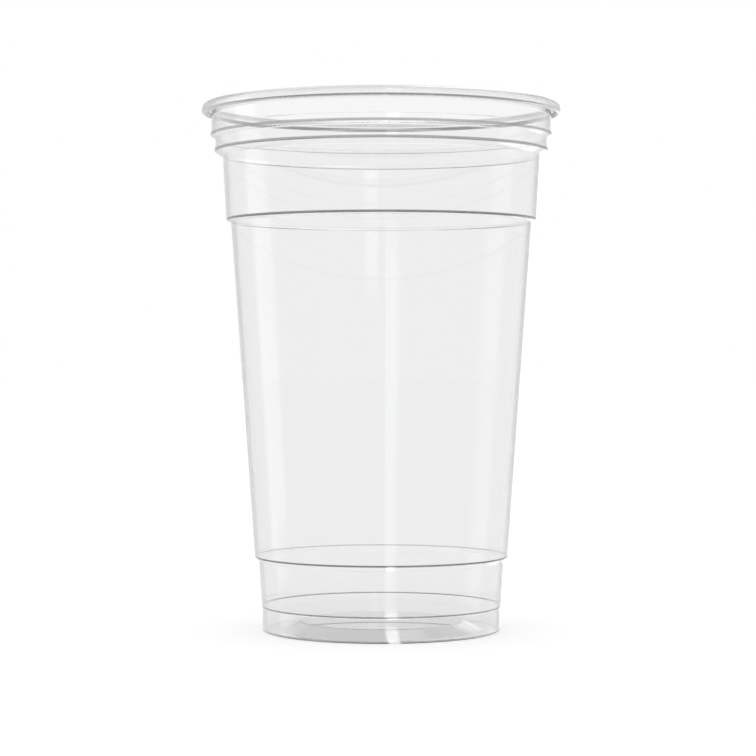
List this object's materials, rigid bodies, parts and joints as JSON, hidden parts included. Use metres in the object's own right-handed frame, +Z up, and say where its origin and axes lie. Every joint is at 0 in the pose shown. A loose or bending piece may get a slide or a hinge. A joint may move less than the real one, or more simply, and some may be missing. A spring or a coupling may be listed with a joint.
{
  "type": "disposable cold cup",
  "caption": "Tall tapered cup of thin clear plastic with a rolled rim, stepped rings under the rim, a low step ring and a raised centre panel in its base.",
  "frame": {"origin": "on the cup's axis at the plane that its foot ring stands on", "axes": "+Z up the axis, towards the mouth; the cup is the same all round, so X and Y are free"},
  "size_m": [0.098, 0.098, 0.1435],
  "materials": {
    "clear_plastic": "clear, glossy, as formed"
  },
  "bodies": {
    "root": {"cup": "clear_plastic"}
  },
  "joints": []
}
